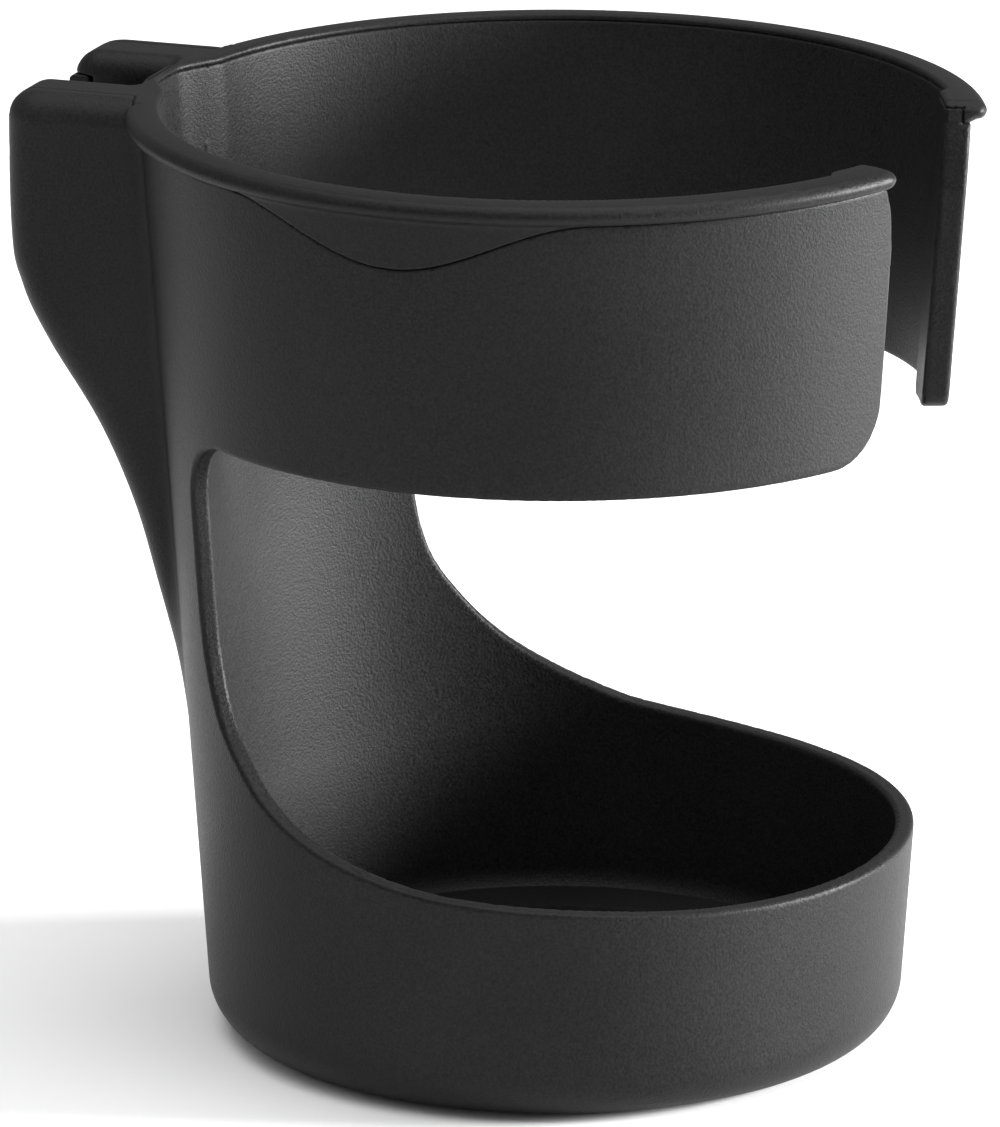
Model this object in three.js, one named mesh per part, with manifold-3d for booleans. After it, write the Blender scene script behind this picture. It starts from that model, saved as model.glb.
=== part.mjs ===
// Clip-on cup holder: a tapered C-shaped ring on a curved spine over a shallow cup,
// with a hollow housing behind the ring that drops over an upright mounting tongue.
// Millimetres. +Z is up, the cup's axis is Z, the base stands on Z = 0,
// the front slot faces -Y and the housing faces +Y.

import * as THREE from "three";
import { mergeVertices } from "three/addons/utils/BufferGeometryUtils.js";
import Module from "manifold-3d";

const wasm = await Module();
wasm.setup();

// ---- driving dimensions -------------------------------------------------

const HEIGHT = 100;
const GAP = 0.3;
const SEGMENTS = 72;

const CUP = {
  baseRadius: 36.6,
  draft: 0.068,
  wall: 2.0,
  floor: 2.2,
  baseFillet: 5.3,
  innerFillet: 3.0,
  grooveInner: 24,
  grooveOuter: 27,
  grooveDepth: 0.8,
};

const RING = {
  bottom: 68.5,
  cornerRadius: 8,
  slotHalfAngle: 17,
};

const SPINE = {
  halfAngle: 43.5,
  edgeStart: 52,
};

// Lower edge of the side window: [angle from the spine's middle in degrees, height].
const RIM_CURVE = [
  [SPINE.halfAngle, SPINE.edgeStart],
  [45.4, 43],
  [50, 36.8],
  [58.5, 31.3],
  [71, 27.2],
  [87, 24.4],
  [110, 23],
  [140, 22.5],
  [180, 22.4],
];

const TRIM = {
  bottom: 97.7,
  radius: 45,
  skirt: 0.8,
  proud: 0.25,
  waveCentre: 86,
  waveHalfAngle: 30,
  waveDrop: 5.4,
  tipHalfAngle: 20,
  edgeRadius: 1.0,
};

const HOUSING = {
  halfWidth: 15,
  cheek: 2.4,
  back: 56.6,
  cornerRadius: 2.2,
  planRadius: 3.8,
  topPlate: 2.0,
  cavityFloor: 46,
  channelHalfWidth: 5.25,
};

// Back edge of the housing seen from the side, top to bottom: [Y, Z].
const BACK_CURVE = [
  [HOUSING.back, 86],
  [55.4, 79],
  [52.4, 73],
  [46.8, 64.5],
  [42.9, 56],
  [40.3, 47],
  [38.6, 40],
];

// Shallow groove down the inside of the spine: full depth above "full", gone at "bottom".
const GROOVE = {
  halfWidth: 5.4,
  depth: 1.9,
  full: 70,
  bottom: 46,
};

const COVER = {
  thickness: 2.2,
  bottom: 73.5,
  bridgeTop: 76,
  screwX: 10.2,
  screwHeights: [79, 93.2],
  screwRadius: 0.9,
  headRadius: 1.6,
  headDepth: 1.2,
  crossHalfLength: 1,
  crossHalfWidth: 0.25,
  bossRadius: 1.9,
};

const LATCH = {
  halfWidth: 4.3,
  toothHalfWidth: 2.4,
  pivot: [51.4, 88.5],
  hubRadius: 2.4,
  pinRadius: 1.2,
  pinHalfLength: 12,
  boreClearance: 0.3,
  tabTop: 96.4,
  tabBack: 53,
  tabThickness: 2.2,
  armEnd: 77.4,
  edge: 0.6,
  toothTip: 46.4,
  toothHeight: 4,
  toothFace: 1.4,
  blockGap: 1.4,
  coilRoom: 2.7,
  grips: 3,
  gripRadius: 0.5,
  gripRange: [91.8, 94.8],
};

const SPRING = {
  coilRadius: 1.95,
  wireRadius: 0.3,
  turns: 4,
  pitch: 0.85,
  leg: 2.2,
};

// The tongue of the clamp stands in this pocket, between the ring and the latch.
const POCKET = {
  halfWidth: 7.3,
  liner: 0.8,
  rib: 1.2,
  bottom: 70,
  top: 85,
  front: 44.6,
  back: 50.2,
  stopDepth: 1,
};

const MAT = {
  radius: 32.6,
  thickness: 1.4,
  ribs: 3,
  ribPitch: 8,
  ribHeight: 0.5,
  edge: 0.4,
};

// ---- materials ----------------------------------------------------------

const makeMaterial = (color, roughness, metalness) =>
  new THREE.MeshStandardMaterial({ color, roughness, metalness });

const MATERIALS = {
  shell: () => makeMaterial(0x232426, 0.55, 0),
  trim: () => makeMaterial(0x1f2022, 0.45, 0),
  rubber: () => makeMaterial(0x18181a, 0.9, 0),
  latch: () => makeMaterial(0x2a2b2e, 0.5, 0),
  liner: () => makeMaterial(0x3a3b3d, 0.4, 0),
  steel: () => makeMaterial(0x9a9da2, 0.35, 1),
};

// ---- small helpers ------------------------------------------------------

const radians = (degrees) => (degrees * Math.PI) / 180;
const outerRadius = (z) => CUP.baseRadius + CUP.draft * z;
const innerRadius = (z) => outerRadius(z) - CUP.wall;

// A point on a circle about Z, with its angle counted from +Y.
const polar = (radius, angle, z) => [
  radius * Math.sin(radians(angle)),
  radius * Math.cos(radians(angle)),
  z,
];

function toManifold(geometry) {
  const bare = new THREE.BufferGeometry();
  bare.setAttribute("position", geometry.getAttribute("position").clone());
  if (geometry.index) bare.setIndex(geometry.index.clone());
  const merged = mergeVertices(bare, 1e-5);
  const triVerts = Uint32Array.from(merged.index.array);
  const vertProperties = Float32Array.from(merged.getAttribute("position").array);
  if (signedVolume(vertProperties, triVerts) < 0) {
    for (let i = 0; i < triVerts.length; i += 3) {
      const keep = triVerts[i];
      triVerts[i] = triVerts[i + 1];
      triVerts[i + 1] = keep;
    }
  }
  return new wasm.Manifold(new wasm.Mesh({ numProp: 3, vertProperties, triVerts }));
}

function signedVolume(vertices, triangles) {
  let sum = 0;
  const corner = (i) => new THREE.Vector3().fromArray(vertices, 3 * triangles[i]);
  for (let i = 0; i < triangles.length; i += 3) {
    sum += corner(i).dot(corner(i + 1).cross(corner(i + 2)));
  }
  return sum / 6;
}

function toGeometry(manifold) {
  const mesh = manifold.getMesh();
  const geometry = new THREE.BufferGeometry();
  geometry.setAttribute("position", new THREE.BufferAttribute(mesh.vertProperties, 3));
  geometry.setIndex(new THREE.BufferAttribute(mesh.triVerts, 1));
  geometry.computeVertexNormals();
  return geometry;
}

// A body of revolution about Z from a closed outline of [radius, z] points.
function revolve(outline, segments = SEGMENTS) {
  const points = outline.map(([r, z]) => new THREE.Vector2(r, z));
  const geometry = new THREE.LatheGeometry(points, segments);
  geometry.rotateX(Math.PI / 2);
  return toManifold(geometry);
}

// A prism across X: its outline is a list of [Y, Z] points.
function acrossX(outline, fromX, toX) {
  const shape = new THREE.Shape(outline.map(([y, z]) => new THREE.Vector2(y, z)));
  const geometry = new THREE.ExtrudeGeometry(shape, {
    depth: toX - fromX,
    bevelEnabled: false,
  });
  geometry.translate(0, 0, fromX);
  geometry.applyMatrix4(new THREE.Matrix4().set(0, 0, 1, 0, 1, 0, 0, 0, 0, 1, 0, 0, 0, 0, 0, 1));
  return toManifold(geometry);
}

// A prism up Z: its outline is a list of [X, Y] points.
function upZ(outline, fromZ, toZ) {
  const shape = new THREE.Shape(outline.map(([x, y]) => new THREE.Vector2(x, y)));
  const geometry = new THREE.ExtrudeGeometry(shape, {
    depth: toZ - fromZ,
    bevelEnabled: false,
  });
  geometry.translate(0, 0, fromZ);
  return toManifold(geometry);
}

function box(low, high) {
  const size = high.map((value, i) => value - low[i]);
  const geometry = new THREE.BoxGeometry(...size);
  geometry.translate(...low.map((value, i) => value + size[i] / 2));
  return toManifold(geometry);
}

// A cylinder along "x" or "y" between two values on that axis.
function rod(axis, centre, radius, from, to, sides = 24) {
  const geometry = new THREE.CylinderGeometry(radius, radius, to - from, sides);
  const middle = (from + to) / 2;
  if (axis === "x") {
    geometry.rotateZ(Math.PI / 2);
    geometry.translate(middle, centre[0], centre[1]);
  } else {
    geometry.translate(centre[0], middle, centre[1]);
  }
  return toManifold(geometry);
}

// A wall segment wrapped round Z. Each station gives its angle, its lower and upper
// edge, and functions of height for its inner and outer radius.
function wrappedBand(stations, inner, outer) {
  const positions = [];
  const index = [];
  for (const { angle, low, high } of stations) {
    positions.push(
      ...polar(inner(low), angle, low),
      ...polar(outer(low), angle, low),
      ...polar(outer(high), angle, high),
      ...polar(inner(high), angle, high)
    );
  }
  const quad = (a, b, c, d) => index.push(a, b, c, a, c, d);
  for (let i = 0; i + 1 < stations.length; i += 1) {
    for (let side = 0; side < 4; side += 1) {
      const next = (side + 1) % 4;
      quad(4 * i + side, 4 * i + next, 4 * i + 4 + next, 4 * i + 4 + side);
    }
  }
  const last = 4 * (stations.length - 1);
  quad(3, 2, 1, 0);
  quad(last, last + 1, last + 2, last + 3);
  const geometry = new THREE.BufferGeometry();
  geometry.setAttribute("position", new THREE.Float32BufferAttribute(positions, 3));
  geometry.setIndex(index);
  return toManifold(geometry);
}

const steps = (from, to, count) =>
  Array.from({ length: count + 1 }, (_, i) => from + ((to - from) * i) / count);

const arc = (centre, radius, fromAngle, toAngle, count) =>
  steps(fromAngle, toAngle, count).map((angle) => [
    centre[0] + radius * Math.cos(radians(angle)),
    centre[1] + radius * Math.sin(radians(angle)),
  ]);

const spline = (points, count) =>
  new THREE.SplineCurve(points.map((p) => new THREE.Vector2(...p)))
    .getPoints(count)
    .map((p) => [p.x, p.y]);

const unite = (parts) => parts.reduce((whole, part) => whole.add(part));
const cut = (solid, cutters) => cutters.reduce((rest, cutter) => rest.subtract(cutter), solid);

// ---- outlines -----------------------------------------------------------

// Height of the ring's lower edge, with its rounded corners at the spine and the slot.
function ringEdge(angle) {
  const perDegree = radians(1) * outerRadius(RING.bottom);
  const fromSpine = (angle - SPINE.halfAngle) * perDegree;
  const fromSlot = (180 - RING.slotHalfAngle - angle) * perDegree;
  const fall = (distance) => {
    const t = Math.max(0, RING.cornerRadius - distance);
    return RING.cornerRadius - Math.sqrt(Math.max(0, RING.cornerRadius ** 2 - t ** 2));
  };
  return RING.bottom - fall(fromSpine) + (fromSlot >= 0 ? fall(fromSlot) : RING.cornerRadius);
}

// Height of the trim's lower edge: level, with one smooth wave on each side.
function trimEdge(angle) {
  const t = (Math.abs(angle) - TRIM.waveCentre) / TRIM.waveHalfAngle;
  const wave = Math.abs(t) < 1 ? 0.5 * (1 + Math.cos(Math.PI * t)) : 0;
  return TRIM.bottom - TRIM.waveDrop * wave;
}

function mirrored(stations) {
  const back = stations
    .slice(0, -1)
    .reverse()
    .map((station) => ({ ...station, angle: 360 - station.angle }));
  return [...stations, ...back];
}

function backOutline(inset, count = 14) {
  const curve = spline(BACK_CURVE, count);
  return curve.map(([y, z], i) => {
    const [y0, z0] = curve[Math.max(0, i - 1)];
    const [y1, z1] = curve[Math.min(curve.length - 1, i + 1)];
    const length = Math.hypot(y1 - y0, z1 - z0);
    return [y + (inset * (z1 - z0)) / length, z - (inset * (y1 - y0)) / length];
  });
}

// ---- holder body --------------------------------------------------------

function cupShell() {
  const r = CUP.baseFillet;
  const top = TRIM.bottom - GAP;
  const outerFoot = outerRadius(r) - r;
  const innerFoot = innerRadius(CUP.floor) - CUP.innerFillet;
  return revolve([
    [0, 0],
    [CUP.grooveInner, 0],
    [CUP.grooveInner + CUP.grooveDepth, CUP.grooveDepth],
    [CUP.grooveOuter - CUP.grooveDepth, CUP.grooveDepth],
    [CUP.grooveOuter, 0],
    ...arc([outerFoot, r], r, -90, 0, 6),
    [outerRadius(top), top],
    [innerRadius(top), top],
    ...arc([innerFoot, CUP.floor + CUP.innerFillet], CUP.innerFillet, 0, -90, 4),
    [0, CUP.floor],
  ]);
}

// Height of the window's lower edge, read off the smooth rim curve.
function rimEdge(angle) {
  const curve = spline(RIM_CURVE, 80);
  const next = Math.max(1, curve.findIndex((point) => point[0] >= angle));
  const [a0, z0] = curve[next - 1];
  const [a1, z1] = curve[next];
  return z0 + ((z1 - z0) * (angle - a0)) / (a1 - a0);
}

function windowAndSlot() {
  const near = 30;
  const far = 50;
  const slotStart = 180 - RING.slotHalfAngle;
  const corner = RING.cornerRadius / (radians(1) * outerRadius(RING.bottom));
  const angles = [
    ...steps(SPINE.halfAngle, SPINE.halfAngle + corner, 7),
    ...steps(SPINE.halfAngle + corner, slotStart - corner, 14).slice(1),
    ...steps(slotStart - corner, slotStart, 6).slice(1),
    180,
  ];
  const stations = angles.map((angle) => ({
    angle,
    low: rimEdge(angle),
    high: ringEdge(angle),
  }));
  const window = wrappedBand(mirrored(stations), () => near, () => far);
  const slotAngles = steps(slotStart, 360 - slotStart, 8);
  const slot = wrappedBand(
    slotAngles.map((angle) => ({ angle, low: RING.bottom + 1, high: HEIGHT + 5 })),
    () => near,
    () => far
  );
  return window.add(slot);
}

// Upright prism that rounds the housing's two back corners.
function housingPlan() {
  const half = HOUSING.halfWidth;
  const r = HOUSING.planRadius;
  const y = HOUSING.back - r;
  const outline = [
    [-half, 20],
    [half, 20],
    ...arc([half - r, y], r, 0, 90, 5),
    ...arc([r - half, y], r, 90, 180, 5),
  ];
  return upZ(outline, 0, HEIGHT + 1);
}

function housingBlock() {
  const top = TRIM.bottom - GAP;
  const inside = 34;
  const outline = [
    [inside, top],
    [HOUSING.back, top],
    ...backOutline(0),
    [inside, BACK_CURVE.at(-1)[1]],
  ];
  const block = acrossX(outline, -HOUSING.halfWidth, HOUSING.halfWidth);
  return block.intersect(housingPlan());
}

function cupSpaceCutter() {
  const low = CUP.floor + CUP.innerFillet + 1;
  return revolve([
    [0, low],
    [innerRadius(low), low],
    [innerRadius(HEIGHT + 5), HEIGHT + 5],
    [0, HEIGHT + 5],
  ]);
}

const bandStations = (halfAngle, low, high, count) =>
  steps(-halfAngle, halfAngle, count).map((angle) => ({ angle, low, high }));

const grooveHalfAngle = (halfWidth) => (180 / Math.PI) * (halfWidth / innerRadius(GROOVE.full));

// How far the wall steps outwards at a height, along the groove.
const grooveStep = (z) =>
  GROOVE.depth * Math.min(1, Math.max(0, (z - GROOVE.bottom) / (GROOVE.full - GROOVE.bottom)));

// A band behind the groove in two lengths: fading in, then at full depth up to a height.
function grooveBand(halfWidth, top, inner, outer) {
  const halfAngle = grooveHalfAngle(halfWidth);
  const fading = bandStations(halfAngle, GROOVE.bottom, GROOVE.full, 6);
  const full = bandStations(halfAngle, GROOVE.full, top, 6);
  return wrappedBand(fading, inner, outer).add(wrappedBand(full, inner, outer));
}

// The wall bulges out behind the groove by the groove's own depth.
const grooveBulge = () =>
  grooveBand(
    GROOVE.halfWidth + CUP.wall,
    TRIM.bottom - GAP,
    (z) => innerRadius(z) + 0.5,
    (z) => outerRadius(z) + grooveStep(z)
  );

const grooveCutter = () =>
  grooveBand(
    GROOVE.halfWidth,
    HEIGHT,
    () => innerRadius(0) - 5,
    (z) => innerRadius(z) + grooveStep(z)
  );

function housingCavity() {
  const half = HOUSING.halfWidth - HOUSING.cheek;
  const ceiling = TRIM.bottom - GAP - HOUSING.topPlate;
  const behind = HOUSING.back + 5;
  const room = box([-half, 30, HOUSING.cavityFloor], [half, behind, ceiling]);
  const coverSeat = box(
    [-half, HOUSING.back - COVER.thickness - GAP, COVER.bottom],
    [half, behind, HEIGHT]
  );
  const channel = box(
    [-HOUSING.channelHalfWidth, 30, HOUSING.cavityFloor],
    [HOUSING.channelHalfWidth, behind, HEIGHT]
  );
  const wallAndBulge = revolve([
    [0, 0],
    [outerRadius(0), 0],
    [outerRadius(HEIGHT), HEIGHT],
    [0, HEIGHT],
  ]).add(grooveBulge());
  return room.add(coverSeat).add(channel).subtract(wallAndBulge);
}

const screwPlaces = () =>
  COVER.screwHeights.flatMap((z) => [-COVER.screwX, COVER.screwX].map((x) => ({ x, z })));

// Y of the cover's outer face at a given height.
function backAt(z) {
  const curve = backOutline(0, 60);
  if (z >= curve[0][1]) return HOUSING.back;
  const below = curve.findIndex((point) => point[1] <= z);
  const [y0, z0] = curve[below - 1];
  const [y1, z1] = curve[below];
  return y0 + ((y1 - y0) * (z - z0)) / (z1 - z0);
}

function coverBoss({ x, z }) {
  const face = backAt(z) - COVER.thickness - GAP - 0.9;
  return rod("y", [x, z], COVER.bossRadius, outerRadius(z) - 2.5, face, 16);
}

const bossBore = ({ x, z }) =>
  rod("y", [x, z], COVER.screwRadius + GAP, outerRadius(z) + 0.4, HOUSING.back + 5, 16);

// Blocks inside the cheeks that carry the ends of the latch pin. The foot of each block
// stops the tongue.
function pinBlocks() {
  const [y, z] = LATCH.pivot;
  const inner = LATCH.halfWidth + LATCH.blockGap;
  const outer = HOUSING.halfWidth - HOUSING.cheek + 0.5;
  const half = LATCH.hubRadius + 0.2;
  const front = outerRadius(z) - 1;
  const block = box([inner, front, z - half], [outer, y + half, z + half]).add(
    box(
      [inner, POCKET.front, z - half - POCKET.stopDepth],
      [POCKET.halfWidth - GAP, POCKET.back - GAP, z]
    )
  );
  return block.add(block.mirror([1, 0, 0]));
}

// Upright ribs on each side of the pocket, joined to the cover bosses.
function pocketRibs() {
  const inner = POCKET.halfWidth + POCKET.liner + GAP;
  const rib = acrossX(
    [
      [outerRadius(POCKET.bottom) - 2.5, POCKET.bottom],
      [backAt(POCKET.bottom) - COVER.thickness - 1.5, POCKET.bottom],
      [POCKET.back, POCKET.bottom + 5],
      [POCKET.back, POCKET.top + 2],
      [outerRadius(POCKET.top) - 2.5, POCKET.top + 2],
    ],
    inner,
    inner + POCKET.rib
  );
  return rib.add(rib.mirror([1, 0, 0]));
}

function trimSeat() {
  const seatAngles = steps(0, 360, SEGMENTS);
  const stations = seatAngles.slice(0, -1).map((angle) => ({
    angle,
    low: trimEdge(angle > 180 ? 360 - angle : angle) - GAP,
    high: HEIGHT + 5,
  }));
  const half = stations.length / 2;
  const first = stations.slice(0, half + 1);
  const second = [...stations.slice(half), { ...stations[0], angle: 360 }];
  const depth = (z) => outerRadius(z) - TRIM.skirt - GAP;
  const reach = (z) => outerRadius(z) + 3;
  const seat = wrappedBand(first, depth, reach).add(wrappedBand(second, depth, reach));
  const behindCheeks = box(
    [-HOUSING.halfWidth - 1.2, 20, TRIM.bottom - TRIM.waveDrop - 1],
    [HOUSING.halfWidth + 1.2, 70, TRIM.bottom - GAP]
  );
  return seat.subtract(behindCheeks);
}

function holderBody() {
  const bosses = screwPlaces().map(coverBoss);
  const solid = cupShell()
    .add(housingBlock().subtract(cupSpaceCutter()))
    .add(grooveBulge())
    .subtract(housingCavity())
    .add(unite([...bosses, pinBlocks(), pocketRibs()]).subtract(cupSpaceCutter()));
  const pinBore = rod(
    "x",
    LATCH.pivot,
    LATCH.pinRadius + LATCH.boreClearance,
    -LATCH.pinHalfLength - GAP,
    LATCH.pinHalfLength + GAP
  );
  return cut(solid, [
    grooveCutter(),
    windowAndSlot(),
    trimSeat(),
    pinBore,
    ...screwPlaces().map(bossBore),
  ]);
}

// ---- rim trim -----------------------------------------------------------

function lipRing() {
  const r = TRIM.edgeRadius;
  const inner = innerRadius(TRIM.bottom);
  const mid = (TRIM.bottom + HEIGHT) / 2;
  return revolve([
    [inner, TRIM.bottom],
    [TRIM.radius - r, TRIM.bottom],
    ...arc([TRIM.radius - r, mid], r, -90, 90, 5).map(([x, z]) => [
      x,
      mid + ((z - mid) * (HEIGHT - TRIM.bottom)) / (2 * r),
    ]),
    [inner + 0.5, HEIGHT],
    [inner, HEIGHT - 0.5],
    [inner, TRIM.bottom],
  ]);
}

function trimSkirt() {
  const stations = mirrored(
    steps(22, 180, 48).map((angle) => ({
      angle,
      low: trimEdge(angle),
      high: TRIM.bottom + 0.5,
    }))
  );
  return wrappedBand(
    stations,
    (z) => outerRadius(z) - TRIM.skirt,
    (z) => outerRadius(z) + TRIM.proud
  );
}

// Cap over the two ears of the housing, with the latch channel open between them.
function housingCap() {
  const half = HOUSING.halfWidth;
  const r = HOUSING.cornerRadius;
  const block = acrossX(
    [
      [36, TRIM.bottom],
      [HOUSING.back, TRIM.bottom],
      ...arc([HOUSING.back - r, HEIGHT - r], r, 8, 90, 5),
      [36, HEIGHT],
    ],
    -half,
    half
  );
  const corner = 2.6;
  const channel = HOUSING.channelHalfWidth;
  const back = HOUSING.back;
  const flank = [
    [channel, 44.4],
    ...arc([channel + corner, back - corner], corner, 180, 90, 5),
    [channel + corner, back + 2],
  ];
  const opening = [...flank, ...flank.map(([x, y]) => [-x, y]).reverse()];
  return block.intersect(housingPlan()).subtract(upZ(opening, TRIM.bottom - 1, HEIGHT + 1));
}

function rimTrim() {
  const slotHalf = TRIM.tipHalfAngle;
  const slot = wrappedBand(
    steps(180 - slotHalf, 180 + slotHalf, 6).map((angle) => ({
      angle,
      low: TRIM.bottom - TRIM.waveDrop - 1,
      high: HEIGHT + 1,
    })),
    () => 30,
    () => 50
  );
  const bore = revolve([
    [0, TRIM.bottom - 8],
    [innerRadius(TRIM.bottom), TRIM.bottom - 8],
    [innerRadius(TRIM.bottom), HEIGHT + 1],
    [0, HEIGHT + 1],
  ]);
  return lipRing()
    .add(trimSkirt())
    .add(housingCap().subtract(bore))
    .subtract(slot)
    .subtract(grooveCutter());
}

// ---- pieces inside the housing -----------------------------------------

function backCover() {
  const top = TRIM.bottom - GAP;
  const outer = backOutline(0, 28).filter(([, z]) => z >= COVER.bottom);
  const inner = backOutline(COVER.thickness, 28).filter(([, z]) => z >= COVER.bottom);
  const outline = [
    [HOUSING.back - COVER.thickness, top],
    [HOUSING.back, top],
    ...outer,
    ...inner.reverse(),
  ];
  const half = HOUSING.halfWidth - HOUSING.cheek - GAP;
  const plate = acrossX(outline, -half, half);
  const slot = box(
    [-HOUSING.channelHalfWidth, 40, COVER.bridgeTop],
    [HOUSING.channelHalfWidth, 60, HEIGHT]
  );
  const holes = screwPlaces().map(({ x, z }) =>
    rod("y", [x, z], COVER.screwRadius + GAP, 36, 62, 16)
  );
  const seats = screwPlaces().map(({ x, z }) =>
    rod("y", [x, z], COVER.headRadius + GAP / 2, backAt(z) - COVER.headDepth - GAP, 62, 20)
  );
  return cut(plate, [slot, ...holes, ...seats]);
}

function coverScrew({ x, z }) {
  const face = backAt(z) - COVER.headDepth;
  const depth = outerRadius(z) + 1.2;
  const head = rod("y", [x, z], COVER.headRadius, face, face + COVER.headDepth - 0.2, 20);
  const shank = rod("y", [x, z], COVER.screwRadius, depth, face + 0.1, 12);
  const cross = [
    [COVER.crossHalfLength, COVER.crossHalfWidth],
    [COVER.crossHalfWidth, COVER.crossHalfLength],
  ].map(([dx, dz]) => box([x - dx, face + 0.5, z - dz], [x + dx, face + 3, z + dz]));
  return cut(head.add(shank), cross);
}

function latchLever() {
  const [y, z] = LATCH.pivot;
  const back = LATCH.tabBack;
  const front = back - LATCH.tabThickness;
  const { armEnd, tabTop, edge, toothTip, toothHeight } = LATCH;
  const arm = acrossX(
    [
      [front, armEnd],
      [front, tabTop - edge],
      [front + edge, tabTop],
      [back - edge, tabTop],
      [back, tabTop - edge],
      [back, armEnd],
    ],
    -LATCH.halfWidth,
    LATCH.halfWidth
  );
  const tooth = acrossX(
    [
      [front + 0.5, armEnd],
      [front + 0.5, armEnd + toothHeight],
      [toothTip, armEnd + toothHeight],
      [toothTip, armEnd + toothHeight - LATCH.toothFace],
    ],
    -LATCH.toothHalfWidth,
    LATCH.toothHalfWidth
  );
  const hub = rod("x", LATCH.pivot, LATCH.hubRadius, -LATCH.halfWidth, LATCH.halfWidth, 20);
  const reach = LATCH.halfWidth + 1;
  const bore = rod("x", LATCH.pivot, LATCH.pinRadius + 0.1, -reach, reach);
  const springRoom = box(
    [-LATCH.toothHalfWidth, y - 6, z - LATCH.coilRoom],
    [LATCH.toothHalfWidth, y + 6, z + LATCH.coilRoom]
  );
  const grips = steps(...LATCH.gripRange, LATCH.grips).map((height) =>
    rod("x", [back + LATCH.gripRadius / 2, height], LATCH.gripRadius, -reach, reach, 12)
  );
  return cut(arm.add(tooth).add(hub), [springRoom, bore, ...grips]);
}

const latchPin = () =>
  rod("x", LATCH.pivot, LATCH.pinRadius, -LATCH.pinHalfLength, LATCH.pinHalfLength);

// Torsion spring: a helix round the pin, with a short leg up at one end.
function latchSpring() {
  const [y, z] = LATCH.pivot;
  const length = SPRING.turns * SPRING.pitch;
  const points = steps(0, 1, SPRING.turns * 10).map((t) => {
    const angle = 2 * Math.PI * SPRING.turns * t;
    const dy = -SPRING.coilRadius * Math.cos(angle);
    const dz = SPRING.coilRadius * Math.sin(angle);
    return new THREE.Vector3(-length / 2 + length * t, y + dy, z + dz);
  });
  points.push(points.at(-1).clone().add(new THREE.Vector3(0, 0, SPRING.leg)));
  const section = new THREE.Shape();
  section.absarc(0, 0, SPRING.wireRadius, 0, 2 * Math.PI, false);
  const geometry = new THREE.ExtrudeGeometry(section, {
    steps: 84,
    curveSegments: 3,
    extrudePath: new THREE.CatmullRomCurve3(points),
  });
  return toManifold(geometry);
}

// Slide strip on one side of the pocket, between the rib and the tongue.
function slideLiner(side) {
  const front = (z) => outerRadius(z) + GROOVE.depth + GAP;
  const strip = acrossX(
    [
      [front(POCKET.bottom), POCKET.bottom],
      [backAt(POCKET.bottom) - COVER.thickness - 1.5, POCKET.bottom],
      [POCKET.back, POCKET.bottom + 5],
      [POCKET.back, POCKET.top],
      [front(POCKET.top), POCKET.top],
    ],
    POCKET.halfWidth,
    POCKET.halfWidth + POCKET.liner
  );
  return side > 0 ? strip : strip.mirror([1, 0, 0]);
}

function baseMat() {
  const low = CUP.floor + GAP;
  const high = low + MAT.thickness;
  const ribs = [];
  for (let i = 1; i <= MAT.ribs; i += 1) {
    const r = i * MAT.ribPitch;
    ribs.push([r - 1, high], [r - 0.5, high + MAT.ribHeight]);
    ribs.push([r + 0.5, high + MAT.ribHeight], [r + 1, high]);
  }
  return revolve(
    [
      [0, low],
      [MAT.radius - MAT.edge, low],
      [MAT.radius, low + MAT.edge],
      [MAT.radius, high - MAT.edge],
      [MAT.radius - MAT.edge, high],
      ...ribs.reverse(),
      [0, high],
    ],
    48
  );
}

// ---- assembly -----------------------------------------------------------

const holder = new THREE.Group();

function addPiece(name, manifold, material) {
  const mesh = new THREE.Mesh(toGeometry(manifold), material());
  mesh.name = name;
  holder.add(mesh);
}

addPiece("holder_body", holderBody(), MATERIALS.shell);
addPiece("rim_trim", rimTrim(), MATERIALS.trim);
addPiece("base_mat", baseMat(), MATERIALS.rubber);
addPiece("back_cover", backCover(), MATERIALS.shell);
addPiece("latch_lever", latchLever(), MATERIALS.latch);
addPiece("latch_pin", latchPin(), MATERIALS.steel);
addPiece("latch_spring", latchSpring(), MATERIALS.steel);
addPiece("slide_liner_left", slideLiner(-1), MATERIALS.liner);
addPiece("slide_liner_right", slideLiner(1), MATERIALS.liner);
screwPlaces().forEach((place, i) => {
  addPiece(`cover_screw_${i + 1}`, coverScrew(place), MATERIALS.steel);
});

export default holder;
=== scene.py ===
import math

import bpy
import numpy as np
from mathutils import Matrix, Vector


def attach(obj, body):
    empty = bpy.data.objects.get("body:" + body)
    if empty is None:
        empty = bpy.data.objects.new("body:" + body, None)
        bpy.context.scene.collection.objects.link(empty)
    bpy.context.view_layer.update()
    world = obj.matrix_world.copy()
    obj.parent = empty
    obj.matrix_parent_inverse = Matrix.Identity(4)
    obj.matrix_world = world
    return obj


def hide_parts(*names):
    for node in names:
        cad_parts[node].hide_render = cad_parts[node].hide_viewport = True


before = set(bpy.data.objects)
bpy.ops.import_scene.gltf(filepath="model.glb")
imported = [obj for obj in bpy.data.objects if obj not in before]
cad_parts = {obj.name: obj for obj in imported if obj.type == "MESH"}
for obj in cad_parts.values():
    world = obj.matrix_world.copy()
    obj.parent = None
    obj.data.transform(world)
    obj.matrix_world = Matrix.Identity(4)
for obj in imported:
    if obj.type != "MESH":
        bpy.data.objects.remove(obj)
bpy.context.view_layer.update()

MM = 0.001

# A cup holder made of smooth mouldings. Each one is a signed-distance field in millimetres, built
# from the dimensions below and turned into a fine mesh that takes the place of its CAD node.
# X runs across the holder, Y from the slot at the front to the housing at the back, and Z up.

# ---- driving dimensions, in millimetres, as in the CAD model -------------

HEIGHT = 100.0
GAP = 0.3

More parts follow.
